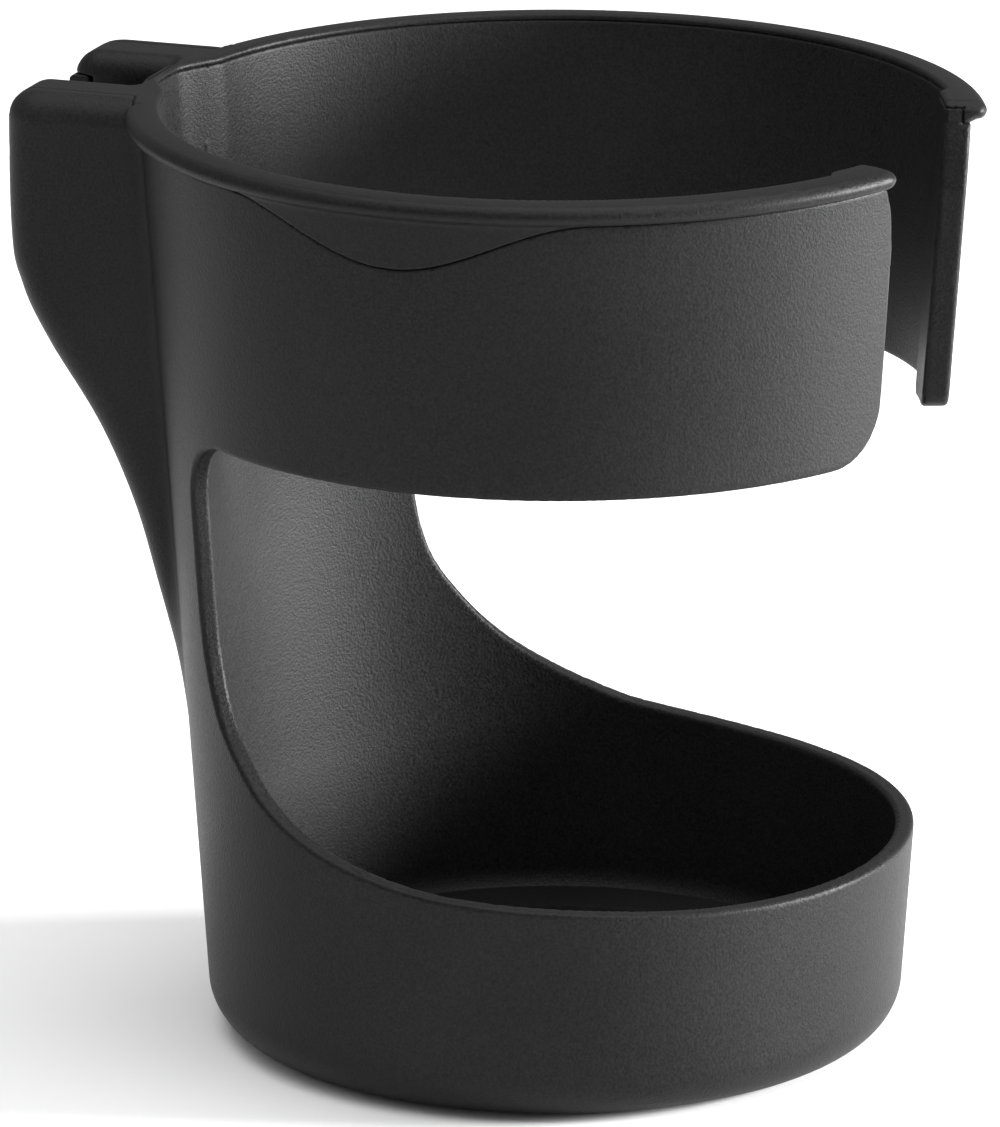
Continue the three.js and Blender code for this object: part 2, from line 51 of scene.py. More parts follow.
# The tapered wall and the floor of the cup.
BASE_RADIUS = 36.6
DRAFT = 0.068
WALL = 2.0
FLOOR = 2.2
BASE_FILLET = 5.0
INNER_FILLET = 3.0
EDGE = 0.5
BASE_GROOVE_RADIUS = 25.5
BASE_GROOVE_HALF = 1.5
BASE_GROOVE_DEPTH = 0.8
COLLAR = 0.9

# Lower edge of each side window: (distance round the wall from the spine's middle, height).
WRAP_RADIUS = 39.5
LEFT_WINDOW = [
    (28.3, 60), (28.3, 52), (28.6, 46), (29.9, 41), (32.1, 37.2), (35.2, 34.1), (38.8, 31.2), (43.5, 28.8),
    (49.2, 26.9), (55.5, 25.5), (61.4, 24.6), (69, 24.0), (80, 23.4), (92, 22.7), (108, 22.3), (140, 22.3),
]
RIGHT_WINDOW = [
    (32, 60), (32.2, 52), (32.8, 46.5), (33.9, 42.3), (35.4, 39.4), (37, 37.3), (38.9, 35.1), (41, 33),
    (44, 30.6), (48, 28.2), (52.8, 26), (58.9, 24.1), (69, 22.9), (80, 22.4), (92, 22.3), (140, 22.3),
]
RING_BOTTOM = 68.4
WINDOW_CORNER = 7.5
SLOT_EDGE = 112.0
SLOT_CORNER = 6.5
# The slot's edge draws back a little as it nears the lip: (distance round the wall, height).
SLOT_TOP = [(112.0, 91), (111.5, 95), (110.4, 98), (110.4, 160)]
FOOT_CORNER = 2.6
FOOT_START = 104.6
FOOT_DROP = 1.4
FOOT_RUN = 0.8
# The ring's wall is thicker at both ends of the slot.
END_RIB = 0.9
END_RIB_RUN = 0.7
END_RIB_BOTTOM = 50.0

# The rim moulding: lip, waves and the inlay that covers the housing.
TRIM_BOTTOM = 97.7
LIP_RADIUS = 45.0
LIP_UNDER = 97.9
LIP_INTO_BEAD = 1.0
LIP_ROUND = 1.0
LIP_FALL = 0.3
FALL_FROM = 42.0
FLARE = 44.0
FLARE_POWER = 1.7
BEAD_FILLET = 0.6
TIP_ROUND = 1.6
PROUD = 0.22
COLLAR_TOP = 99.3
WAVE_CENTRE = 86.0
WAVE_HALF_ANGLE = 28.0
WAVE_DROP = 5.4
TIP_EDGE = 110.6
INLAY_HALF = 11.4
INLAY_BACK = 60.0
INLAY_BOTTOM = 96.3
INLAY_CORNER = 1.5
LIP_CLEAR_OF_WALL = 0.7

# The hollow housing behind the ring, and the latch channel through its back.
HOUSING_FRONT = 20.0
HOUSING_HALF = 15.0
HOUSING_CORNER = 3.8
HOUSING_TOP_EDGE = 3.0
CHEEK = 2.4
BACK = 56.6
CHANNEL_HALF = 5.25
CHANNEL_EDGE = 2.3
SKIN = 1.0
ROOM_BOTTOM = 46.0
ROOM_TOP = 95.4
ROOM_EDGE = 0.8
INSIDES_FRONT = 38.0
# The housing's back edge from the side: (height, Y).
BACK_CURVE = [
    (110, BACK), (86, BACK), (79, 55.4), (73, 52.4), (64.5, 46.8),
    (56, 42.9), (47, 40.2), (40, 38.2), (33, 36.2), (26, 33.5),
]

# The shallow groove up the wall behind the ring.
GROOVE_HALF = 5.6
GROOVE_FLANK = 3.4
GROOVE_DEPTH = 2.1
GROOVE_BOTTOM = 44.0
GROOVE_FULL = 84.0

# The back cover and its screws.
COVER_THICKNESS = 2.2
COVER_BOTTOM = 73.5
COVER_BRIDGE = 76.0
SCREW_X = 10.2
SCREW_HEIGHTS = (79.0, 93.2)
BOSS_RADIUS = 1.9
BOSS_GAP = 1.2
HEAD_SEAT_RADIUS = 1.75
HEAD_SEAT_DEPTH = 1.5
HEAD_SUNK = 0.2
HEAD_RADIUS = 1.6
HEAD_HEIGHT = 1.2
HEAD_DOME = 3.2
SHANK_RADIUS = 0.9
SHANK_START = 0.8
SHANK_END = 6.0
CROSS_HALF = 1.0
CROSS_THIN_HALF = 0.26
CROSS_DEPTH = 0.75

# The latch lever, its pin and its spring.
PIVOT_Y = 51.4
PIVOT_Z = 88.5
LEVER_HALF = 4.3
TOOTH_HALF = 2.4
TAB_TOP = 96.4
TAB_BACK = 53.0
TAB_THICKNESS = 2.2
LEVER_END = 77.4
TOOTH_TIP = 46.4
TOOTH_HEIGHT = 4.0
TOOTH_TIP_RISE = 2.6
TOOTH_SLOPE = 0.5
HUB_RADIUS = 2.4
PIN_RADIUS = 1.2
PIN_HALF = 12.0
BORE_END_GAP = 0.4
SPRING_TURNS = 4
SPRING_PITCH = 0.85
SPRING_RADIUS = 1.95
SPRING_WIRE_RADIUS = 0.3
SPRING_LEG = (0.6, 1.2, 1.8, 2.2)
COIL_ROOM_HALF = 2.7
GRIP_HEIGHTS = np.linspace(91.8, 94.8, 4)
GRIP_RADIUS = 0.55

# Pin blocks, stops, ribs and slide strips inside the housing.
PIN_BLOCK_HALF = 2.6
PIN_BLOCK_INNER = 5.7
PIN_BLOCK_OUTER = 14.0
STOP_FRONT = 44.6
STOP_BACK = 49.9
STOP_HALF = 7.0
STOP_DEPTH = 1.0
RIB_INNER = 8.4
RIB_OUTER = 9.6
RIB_BACK = 50.2
POCKET_BOTTOM = 70.0
RIB_TOP = 87.0
LINER_INNER = 7.3
LINER_OUTER = 8.1
LINER_TOP = 85.0

# The round mat on the cup's floor.
MAT_RADIUS = 32.6
MAT_THICKNESS = 1.4
MAT_RIBS = (8, 16, 24)
MAT_RIB_RADIUS = 0.6
MAT_RIB_SUNK = 0.4


# ---- distance-field shapes -------------------------------------------------

def both(a, b, radius=0.0):
    """Intersection of two fields, its edge rounded to a radius."""
    if radius == 0.0:
        return np.maximum(a, b)
    u = np.maximum(a + radius, 0)
    v = np.maximum(b + radius, 0)
    return np.minimum(np.maximum(a, b), -radius) + np.sqrt(u * u + v * v)


def either(a, b, radius=0.0):
    """Union of two fields, its inside corner filled to a radius."""
    return -both(-a, -b, radius)


def minus(a, b, radius=0.0):
    """The first field with the second cut out of it."""
    return both(a, -b, radius)


def smooth_step(low, high, value):
    """0 below low, 1 above high, and a smooth rise between them."""
    t = np.clip((value - low) / (high - low), 0, 1)
    return t * t * (3 - 2 * t)


def slab(value, low, high):
    """Everything between two parallel planes."""
    return np.maximum(low - value, value - high)


def block(x, y, z, low, high, radius=0.3):
    """A box between two corners, its edges rounded."""
    across = both(slab(x, low[0], high[0]), slab(y, low[1], high[1]), radius)
    return both(across, slab(z, low[2], high[2]), radius)


def rod_x(x, y, z, centre, radius, half, edge=0.2):
    """A round rod along X, centred on X = 0, at a (Y, Z) place."""
    return both(np.hypot(y - centre[0], z - centre[1]) - radius, np.abs(x) - half, edge)


def rod_y(x, y, z, centre, radius, low, high, edge=0.2):
    """A round rod along Y from low to high, at an (X, Z) place."""
    return both(np.hypot(x - centre[0], z - centre[1]) - radius, slab(y, low, high), edge)


def catmull_rom(points, per_span=12):
    """A smooth line through a short list of points."""
    p = np.array(points, float)
    p = np.vstack([2 * p[0] - p[1], p, 2 * p[-1] - p[-2]])
    t = np.linspace(0, 1, per_span, endpoint=False)[:, None]
    line = []
    for a, b, c, d in zip(p[:-3], p[1:-2], p[2:-1], p[3:]):
        quadratic = 2 * a - 5 * b + 4 * c - d
        cubic = 3 * b - a - 3 * c + d
        line.append(0.5 * (2 * b + (c - a) * t + quadratic * t ** 2 + cubic * t ** 3))
    return np.vstack([*line, p[-2:-1]])


def corner_arc(centre, radius, start, end, count=10):
    """Points along an arc, its ends given in degrees."""
    turn = np.radians(np.linspace(start, end, count))
    return np.stack([centre[0] + radius * np.cos(turn), centre[1] + radius * np.sin(turn)], 1)


class OutlineMap:
    """Signed distance to a closed outline, looked up from a fine table."""

    STEP = 0.25
    LOW = np.array([-12.0, -8.0])
    SIZE = (580, 500)

    def __init__(self, outline):
        axes = [low + self.STEP * np.arange(count) for low, count in zip(self.LOW, self.SIZE)]
        s, z = np.meshgrid(*axes, indexing="ij")
        nearest = np.full(s.shape, np.inf)
        inside = np.zeros(s.shape, bool)
        for (s0, z0), (s1, z1) in zip(outline, np.roll(outline, -1, axis=0)):
            ds, dz = s1 - s0, z1 - z0
            length = max(ds * ds + dz * dz, 1e-12)
            t = np.clip(((s - s0) * ds + (z - z0) * dz) / length, 0, 1)
            nearest = np.minimum(nearest, (s - s0 - t * ds) ** 2 + (z - z0 - t * dz) ** 2)
            if z0 != z1:
                crosses = ((z0 <= z) != (z1 <= z)) & (s < s0 + (z - z0) * ds / dz)
                inside ^= crosses
        self.table = np.where(inside, -1, 1) * np.sqrt(nearest)

    def __call__(self, s, z):
        u = np.clip((s - self.LOW[0]) / self.STEP, 0, self.SIZE[0] - 1.001)
        v = np.clip((z - self.LOW[1]) / self.STEP, 0, self.SIZE[1] - 1.001)
        i, j = u.astype(np.int32), v.astype(np.int32)
        u, v = u - i, v - j
        t = self.table
        low = t[i, j] * (1 - u) + t[i + 1, j] * u
        high = t[i, j + 1] * (1 - u) + t[i + 1, j + 1] * u
        return low * (1 - v) + high * v


def wall_outline(window, foot_drop, corner):
    """Outline of half the unrolled wall: cup, spine and ring, with the window between them."""
    window = catmull_rom(window)[::-1]
    side = window[-1][0]
    bottom = RING_BOTTOM - foot_drop
    parts = [
        np.array([(-60, -60), (140, -60)]),
        window,
        corner_arc((side + WINDOW_CORNER, RING_BOTTOM - WINDOW_CORNER), WINDOW_CORNER, 180, 90),
    ]
    if foot_drop:
        parts.append(np.array([(FOOT_START - FOOT_RUN, RING_BOTTOM), (FOOT_START + FOOT_RUN, bottom)]))
    parts += [
        corner_arc((SLOT_EDGE - corner, bottom + corner), corner, -90, 0),
        np.array([*SLOT_TOP, (-60, 160)]),
    ]
    return OutlineMap(np.vstack(parts))


LEFT_OUTLINE = wall_outline(LEFT_WINDOW, 0, SLOT_CORNER)
RIGHT_OUTLINE = wall_outline(RIGHT_WINDOW, FOOT_DROP, FOOT_CORNER)

BACK_LINE = catmull_rom(BACK_CURVE)[::-1]
BACK_Z, BACK_Y = BACK_LINE[:, 0], BACK_LINE[:, 1]
BACK_SLOPE = np.gradient(BACK_Y, BACK_Z)


def back_field(y, z):
    """Distance outside the housing's S-shaped back edge."""
    slope = np.interp(z, BACK_Z, BACK_SLOPE)
    return (y - np.interp(z, BACK_Z, BACK_Y)) / np.sqrt(1 + slope ** 2)


def outer_radius(z):
    """Outer radius of the tapered wall at a height."""
    return BASE_RADIUS + DRAFT * z


def round_the_wall(x, y):
    """Distance round the wall from the middle of the spine."""
    return np.arctan2(np.abs(x), y) * WRAP_RADIUS


def groove(x, y, z):
    """How far the wall steps outwards along the shallow groove behind the ring."""
    across = 1 - smooth_step(GROOVE_HALF - GROOVE_FLANK, GROOVE_HALF + GROOVE_FLANK, np.abs(x))
    down = smooth_step(GROOVE_BOTTOM, GROOVE_FULL, z)
    return GROOVE_DEPTH * across * down * (y > 0)


def cup_space(x, y, z):
    """The inside of the ring and the cup."""
    along = round_the_wall(x, y)
    rise = smooth_step(FOOT_START - END_RIB_RUN, FOOT_START + END_RIB_RUN, along)
    rib = END_RIB * rise * (z > END_RIB_BOTTOM)
    wall = np.hypot(x, y) - outer_radius(z) + WALL - groove(x, y, z) + rib
    return both(wall, FLOOR - z, INNER_FILLET)


def outline_field(x, y, z):
    """Negative where the wall has material, each side by its own unrolled outline."""
    along = round_the_wall(x, y)
    x, along, z = np.broadcast_arrays(x, along, z)
    return np.where(x < 0, LEFT_OUTLINE(along, z), RIGHT_OUTLINE(along, z))


def trim_edge(x, y):
    """Height of the rim moulding's lower edge: level, with one wave on each side."""
    t = (np.degrees(np.arctan2(np.abs(x), y)) - WAVE_CENTRE) / WAVE_HALF_ANGLE
    return TRIM_BOTTOM - WAVE_DROP * (0.5 + 0.5 * np.cos(math.pi * np.clip(t, -1, 1)))


def housing_field(x, y, z):
    """The housing behind the spine, with the latch channel and the room inside it."""
    ax = np.abs(x)
    r = np.hypot(x, y)
    wall = outer_radius(z) + groove(x, y, z)
    solid = both(ax - HOUSING_HALF, back_field(y, z), HOUSING_CORNER)
    solid = both(solid, z - HEIGHT, HOUSING_TOP_EDGE)
    room = both(ax - (HOUSING_HALF - CHEEK), slab(z, ROOM_BOTTOM, ROOM_TOP), ROOM_EDGE)
    seat = both(ax - (HOUSING_HALF - CHEEK), BACK - COVER_THICKNESS - GAP - y)
    seat = both(seat, slab(z, COVER_BOTTOM - GAP, TRIM_BOTTOM - GAP))
    inner = both(either(room, seat), wall - r, ROOM_EDGE)
    channel = both(both(ax - CHANNEL_HALF, ROOM_BOTTOM - z), wall - r, ROOM_EDGE)
    solid = minus(minus(solid, channel, CHANNEL_EDGE), inner, 0.3)
    return both(both(solid, wall - SKIN - r), HOUSING_FRONT - y)


def housing_insides(x, y, z):
    """Bosses, ribs and pin blocks inside the housing."""
    ax = np.abs(x)
    low = PIVOT_Z - PIN_BLOCK_HALF
    corner = (PIN_BLOCK_OUTER, PIVOT_Y + PIN_BLOCK_HALF, PIVOT_Z + PIN_BLOCK_HALF)
    shape = block(ax, y, z, (PIN_BLOCK_INNER, INSIDES_FRONT, low), corner)
    foot_corner = (STOP_HALF, STOP_BACK, PIVOT_Z)
    foot = block(ax, y, z, (PIN_BLOCK_INNER, STOP_FRONT, low - STOP_DEPTH), foot_corner, 0.2)
    shape = either(shape, foot)
    rib_corner = (RIB_OUTER, RIB_BACK, RIB_TOP)
    rib = block(ax, y, z, (RIB_INNER, INSIDES_FRONT, POCKET_BOTTOM), rib_corner)
    shape = either(shape, rib, 0.3)
    for height in SCREW_HEIGHTS:
        face = np.interp(height, BACK_Z, BACK_Y) - COVER_THICKNESS - BOSS_GAP
        boss = rod_y(ax, y, z, (SCREW_X, height), BOSS_RADIUS, INSIDES_FRONT, face)
        shape = either(shape, boss, 0.3)
    return both(shape, outer_radius(z) - SKIN - np.hypot(x, y))


def split_field(x, y, z):
    """Negative where the rim moulding is: the lip, its wave, and the inlay on the housing."""
    zone = both(np.abs(x) - HOUSING_HALF, outer_radius(z) + LIP_CLEAR_OF_WALL - np.hypot(x, y))
    behind = outer_radius(z) + groove(x, y, z) - COLLAR - np.hypot(x, y)
    skirt = both(trim_edge(x, y) - z, behind)
    lip = both(either(skirt, COLLAR_TOP - z), -both(zone, -y))
    inlay = both(both(np.abs(x) - INLAY_HALF, y - INLAY_BACK, INLAY_CORNER), INLAY_BOTTOM - z)
    return either(lip, both(both(inlay, behind), -y))


def body_field(x, y, z):
    """The main moulding: ring, spine, cup and housing, less the zone of the rim moulding."""
    r = np.hypot(x, y)
    inside = cup_space(x, y, z)
    outside = both(r - outer_radius(z) - groove(x, y, z), -z, BASE_FILLET)
    base_groove = both(np.abs(r - BASE_GROOVE_RADIUS) - BASE_GROOVE_HALF, z - BASE_GROOVE_DEPTH, 0.4)
    outside = minus(outside, base_groove, 0.4)
    shell = both(outside, -inside, 0.3)
    shell = both(shell, outline_field(x, y, z), EDGE)
    whole = either(shell, housing_field(x, y, z), 1.0)
    whole = either(whole, housing_insides(x, y, z), 0.3)
    whole = both(whole, z - HEIGHT)
    split = split_field(x, y, z)
    visible = both(whole, -split, 0.3)
    bore = np.hypot(y - PIVOT_Y, z - PIVOT_Z) - PIN_RADIUS - GAP
    bore = both(bore, np.abs(x) - PIN_HALF - BORE_END_GAP)
    return minus(visible, both(bore, INSIDES_FRONT - y))


def trim_field(x, y, z):
    """The rim moulding: the wall flares into the lip's bead, with the housing's top behind it."""
    r = np.hypot(x, y)
    along = round_the_wall(x, y)
    edge = trim_edge(x, y)
    t = np.clip((z - edge) / (HEIGHT - 1 - edge), 0, 1)
    wall = outer_radius(z) + PROUD
    flare = wall + (FLARE - wall) * t ** FLARE_POWER
    top = HEIGHT - LIP_FALL * np.clip((r - FALL_FROM) / (LIP_RADIUS - FALL_FROM), 0, 1) ** 2
    bead = both(r - LIP_RADIUS, slab(z, LIP_UNDER, top), LIP_ROUND)
    lip = either(both(r - flare, z - LIP_UNDER - LIP_INTO_BEAD), bead, BEAD_FILLET)
    lip = both(lip, along - TIP_EDGE, TIP_ROUND)
    lip = both(either(lip, housing_field(x, y, z), 1.0), z - HEIGHT)
    lip = both(lip, -cup_space(x, y, z), 0.4)
    return both(lip, split_field(x, y, z), 0.2)


def mat_field(x, y, z):
    """A flat round mat with raised rings."""
    r = np.hypot(x, y)
    low = FLOOR + GAP
    high = low + MAT_THICKNESS
    field = both(r - MAT_RADIUS, slab(z, low, high), 0.35)
    for radius in MAT_RIBS:
        rib = np.hypot(r - radius, z - high) - MAT_RIB_RADIUS
        field = either(field, both(rib, low + MAT_RIB_SUNK - z), 0.25)
    return field


def cover_field(x, y, z):
    """The back cover: a plate along the housing's back with a bridge under the channel."""
    ax = np.abs(x)
    plate = both(ax - (HOUSING_HALF - CHEEK - GAP), back_field(y, z), 0.4)
    plate = both(plate, -back_field(y, z) - COVER_THICKNESS, 0.2)
    plate = both(plate, slab(z, COVER_BOTTOM, TRIM_BOTTOM - GAP), 0.4)
    plate = both(plate, either(CHANNEL_HALF - ax, z - COVER_BRIDGE, 1.0))
    for height in SCREW_HEIGHTS:
        face = np.interp(height, BACK_Z, BACK_Y)
        sink = np.hypot(ax - SCREW_X, z - height) - HEAD_SEAT_RADIUS
        plate = minus(plate, both(sink, face - HEAD_SEAT_DEPTH - y), 0.15)
    return plate


def lever_field(x, y, z):
    """The latch lever: an arm with a grooved tab, a hub on the pin and a tooth at its foot."""
    ax = np.abs(x)
    front = TAB_BACK - TAB_THICKNESS
    arm = block(ax, y, z, (-1, front, LEVER_END), (LEVER_HALF, TAB_BACK, TAB_TOP), 0.7)
    tooth = both(ax - TOOTH_HALF, slab(y, TOOTH_TIP, front + 1), 0.3)
    under = (LEVER_END + TOOTH_TIP_RISE - z - (y - TOOTH_TIP) * TOOTH_SLOPE) * 0.9
    tooth = both(tooth, both(z - LEVER_END - TOOTH_HEIGHT, under, 0.3), 0.3)
    hub = rod_x(x, y, z, (PIVOT_Y, PIVOT_Z), HUB_RADIUS, LEVER_HALF, 0.4)
    shape = either(either(arm, tooth, 0.4), hub, 0.5)
    coil_room = both(ax - TOOTH_HALF, np.abs(z - PIVOT_Z) - COIL_ROOM_HALF, 0.3)
    shape = minus(shape, coil_room, 0.25)
    shape = minus(shape, np.hypot(y - PIVOT_Y, z - PIVOT_Z) - PIN_RADIUS - 0.1, 0.1)
    for height in GRIP_HEIGHTS:
        shape = minus(shape, np.hypot(y - TAB_BACK - 0.2, z - height) - GRIP_RADIUS, 0.15)
    return shape


def liner_field(x, y, z):
    """Both slide strips, one on each side of the pocket."""
    ax = np.abs(x)
    front = outer_radius(z) + GROOVE_DEPTH + GAP
    strip = both(slab(ax, LINER_INNER, LINER_OUTER), slab(z, POCKET_BOTTOM, LINER_TOP), 0.2)
    strip = both(strip, both(front - y, y - RIB_BACK, 0.3), 0.2)
    return both(strip, back_field(y, z) + COVER_THICKNESS + BOSS_GAP, 0.2)


def screw_field(x, y, z):
    """A cross-head screw along Y with its head's face at Y = 0."""
    head = both(np.hypot(x, z) - HEAD_RADIUS, slab(y, -HEAD_HEIGHT, 0), 0.25)
    dome = np.sqrt(x * x + z * z + (y + HEAD_DOME) ** 2) - HEAD_DOME
    head = both(head, dome, 0.1)
    shank = both(np.hypot(x, z) - SHANK_RADIUS, slab(y, -SHANK_END, -SHANK_START), 0.3)
    upright = both(np.abs(x) - CROSS_THIN_HALF, np.abs(z) - CROSS_HALF)
    level = both(np.abs(z) - CROSS_THIN_HALF, np.abs(x) - CROSS_HALF)
    cross = both(np.minimum(upright, level), -CROSS_DEPTH - y)
    return minus(either(head, shank, 0.2), cross, 0.08)


# ---- surfaces from fields --------------------------------------------------

def sample(field, axes, layers=24):
    """A field's values on a grid, a few layers at a time to save memory."""
    x, y, z = axes
    x, y = x[:, None, None], y[None, :, None]
    parts = []
    for start in range(0, len(z), layers):
        layer = z[None, None, start:start + layers]
        parts.append(field(x, y, layer).astype(np.float32))
    return np.concatenate(parts, axis=2)


def gradient(field, points, step):
    """A field's slope at points, by central differences."""
    result = np.empty_like(points)
    for axis in range(3):
        offset = np.zeros(3)
        offset[axis] = step
        ahead = field(*(points + offset).T)
        behind = field(*(points - offset).T)
        result[:, axis] = (ahead - behind) / (2 * step)
    return result


def surface_nets(field, low, high, cell, fine_from=None):
    """Quads along a field's zero surface, one vertex in each grid cell that it crosses.

    Above the height fine_from the cells are half as tall.
    """
    axes = [np.arange(a - 1.5 * cell, b + 1.5 * cell, cell) for a, b in zip(low, high)]
    if fine_from is not None:
        z = axes[2]
        axes[2] = np.concatenate([z[z < fine_from], np.arange(fine_from, z[-1], 0.5 * cell)])
    values = sample(field, axes)
    inside = values < 0
    count = inside[:-1, :-1, :-1].astype(np.int8)
    for i, j, k in ((0, 0, 1), (0, 1, 0), (0, 1, 1), (1, 0, 0), (1, 0, 1), (1, 1, 0), (1, 1, 1)):
        shape = inside.shape
        count += inside[i:shape[0] - 1 + i, j:shape[1] - 1 + j, k:shape[2] - 1 + k]
    active = (count > 0) & (count < 8)
    index = np.full(active.shape, -1, np.int32)
    index[active] = np.arange(active.sum(), dtype=np.int32)
    cells = np.argwhere(active)
    middles = [(axis[1:] + axis[:-1]) / 2 for axis in axes]
    centres = np.stack([middle[cells[:, i]] for i, middle in enumerate(middles)], 1)
    points = centres.copy()
    for _ in range(6):
        slope = gradient(field, points, 0.25 * cell)
        value = field(*points.T)
        points -= (value / np.maximum((slope ** 2).sum(1), 0.05))[:, None] * slope
        points = np.clip(points, centres - 0.9 * cell, centres + 0.9 * cell)

    faces = []
    for axis in range(3):
        a, b = [other for other in range(3) if other != axis]
        lower = np.take(inside, range(inside.shape[axis] - 1), axis)
        upper = np.take(inside, range(1, inside.shape[axis]), axis)
        at = np.argwhere(lower != upper)
        at = at[(at[:, a] > 0) & (at[:, b] > 0)]
        corners = []
        for da, db in ((1, 1), (0, 1), (0, 0), (1, 0)):
            shifted = at.copy()
            shifted[:, a] -= da
            shifted[:, b] -= db
            corners.append(index[tuple(shifted.T)])
        quads = np.stack(corners, 1)
        outward = lower[tuple(at.T)]
        flip = outward if axis == 1 else ~outward
        quads[flip] = quads[flip][:, ::-1]
        faces.append(quads)
    return points, np.concatenate(faces)


def make_mesh(name, points, quads):
    """A smooth-shaded mesh object from points in millimetres and four-cornered faces."""
    mesh = bpy.data.meshes.new(name)
    mesh.vertices.add(len(points))
    mesh.vertices.foreach_set("co", (points * MM).astype(np.float32).ravel())
    mesh.loops.add(quads.size)
    mesh.loops.foreach_set("vertex_index", quads.astype(np.int32).ravel())
    mesh.polygons.add(len(quads))
    mesh.polygons.foreach_set("loop_start", np.arange(0, quads.size, 4, dtype=np.int32))
    mesh.polygons.foreach_set("use_smooth", np.ones(len(quads), bool))
    mesh.update(calc_edges=True)
    mesh.validate()
    piece = bpy.data.objects.new(name, mesh)
    bpy.context.scene.collection.objects.link(piece)
    return piece


def add_piece(name, field, low, high, cell, material, body, node, at=(0, 0, 0), fine_from=None):
    """A smooth piece that stands for a CAD node and rides on its body."""
    points, quads = surface_nets(field, low, high, cell, fine_from)
    piece = make_mesh(name, points + np.array(at), quads)
    normals = gradient(field, points, 0.3 * cell)
    normals /= np.maximum(np.linalg.norm(normals, axis=1), 1e-6)[:, None]
    piece.data.normals_split_custom_set_from_vertices(normals.astype(np.float32))
    piece.data.materials.append(material)
    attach(piece, body)
    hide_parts(node)
    return piece


# ---- materials -------------------------------------------------------------

class Nodes:
    """Short names for building a material's node tree."""

    def __init__(self, name):
        self.material = bpy.data.materials.new(name)
        self.material.use_nodes = True
        self.tree = self.material.node_tree
        self.shader = self.tree.nodes["Principled BSDF"]

    def add(self, kind, **settings):
        node = self.tree.nodes.new(kind)
        for key, value in settings.items():
            setattr(node, key, value)
        return node

    def link(self, source, target):
        self.tree.links.new(source, target)

    def noise(self, coordinates, scale, detail=2.0, roughness=0.5):
        node = self.add("ShaderNodeTexNoise")
        node.inputs["Scale"].default_value = scale
        node.inputs["Detail"].default_value = detail
        node.inputs["Roughness"].default_value = roughness
        self.link(coordinates, node.inputs["Vector"])
        return node.outputs["Fac"]

    def spread(self, value, low, high, from_low=0.3, from_high=0.7):
        node = self.add("ShaderNodeMapRange")
        node.inputs["From Min"].default_value = from_low
        node.inputs["From Max"].default_value = from_high
        node.inputs["To Min"].default_value = low
        node.inputs["To Max"].default_value = high
        self.link(value, node.inputs["Value"])
        return node.outputs["Result"]

    def math(self, operation, a, b):
        node = self.add("ShaderNodeMath", operation=operation)
        for socket, value in zip(node.inputs, (a, b)):
            if isinstance(value, (int, float)):
                socket.default_value = value
            else:
                self.link(value, socket)
        return node.outputs["Value"]

    def mix(self, factor, a, b):
        node = self.add("ShaderNodeMix", data_type="RGBA")
        self.link(factor, node.inputs["Factor"])
        node.inputs["A"].default_value = (*a, 1)
        node.inputs["B"].default_value = (*b, 1)
        return node.outputs["Result"]

    def bump(self, height, strength, distance, normal=None):
        node = self.add("ShaderNodeBump")
        node.inputs["Strength"].default_value = strength
        node.inputs["Distance"].default_value = distance
        self.link(height, node.inputs["Height"])
        if normal is not None:
            self.link(normal, node.inputs["Normal"])
        return node.outputs["Normal"]


def moulded_plastic(name, dark, light, grain, roughness, grain_scale=3400):
    """Black moulded plastic with a spark-eroded grain and slow changes in its sheen."""
    n = Nodes(name)
    place = n.add("ShaderNodeTexCoord").outputs["Object"]
    fine = n.noise(place, grain_scale, 3.0, 0.6)
    coarse = n.noise(place, grain_scale * 0.3, 2.0)
    cloud = n.noise(place, 28, 3.0)
    speckle = n.math("ADD", n.math("MULTIPLY", fine, 0.88), n.math("MULTIPLY", coarse, 0.12))
    tone = n.math("ADD", n.math("MULTIPLY", speckle, 0.7), n.math("MULTIPLY", cloud, 0.3))
    n.link(n.mix(n.spread(tone, 0, 1, 0.35, 0.65), dark, light), n.shader.inputs["Base Color"])
    rough = n.math("ADD", n.spread(fine, -0.06, 0.06), n.spread(cloud, roughness - 0.04, roughness + 0.04))
    n.link(rough, n.shader.inputs["Roughness"])
    n.link(n.bump(speckle, grain, 0.0003), n.shader.inputs["Normal"])
    n.shader.inputs["Specular IOR Level"].default_value = 0.12
    return n.material


def rubber(name):
    """Matt black rubber."""
    n = Nodes(name)
    place = n.add("ShaderNodeTexCoord").outputs["Object"]
    fine = n.noise(place, 1500, 3.0, 0.6)
    cloud = n.noise(place, 40, 2.0)
    tone = n.mix(n.spread(cloud, 0, 1), (0.004, 0.004, 0.0042), (0.008, 0.008, 0.0083))
    n.link(tone, n.shader.inputs["Base Color"])
    n.link(n.spread(fine, 0.74, 0.9), n.shader.inputs["Roughness"])
    n.link(n.bump(fine, 0.35, 0.0003), n.shader.inputs["Normal"])
    n.shader.inputs["Specular IOR Level"].default_value = 0.1
    return n.material


def plated_steel(name):
    """Bright plated steel, a little cloudy and uneven."""
    n = Nodes(name)
    place = n.add("ShaderNodeTexCoord").outputs["Object"]
    fine = n.noise(place, 2200, 3.0)
    cloud = n.noise(place, 300, 2.0)
    tone = n.mix(n.spread(cloud, 0, 1), (0.42, 0.43, 0.45), (0.60, 0.61, 0.63))
    n.link(tone, n.shader.inputs["Base Color"])
    n.link(n.spread(fine, 0.26, 0.42), n.shader.inputs["Roughness"])
    n.link(n.bump(fine, 0.1, 0.0001), n.shader.inputs["Normal"])
    n.shader.inputs["Metallic"].default_value = 1.0
    return n.material


# ---- the object ------------------------------------------------------------

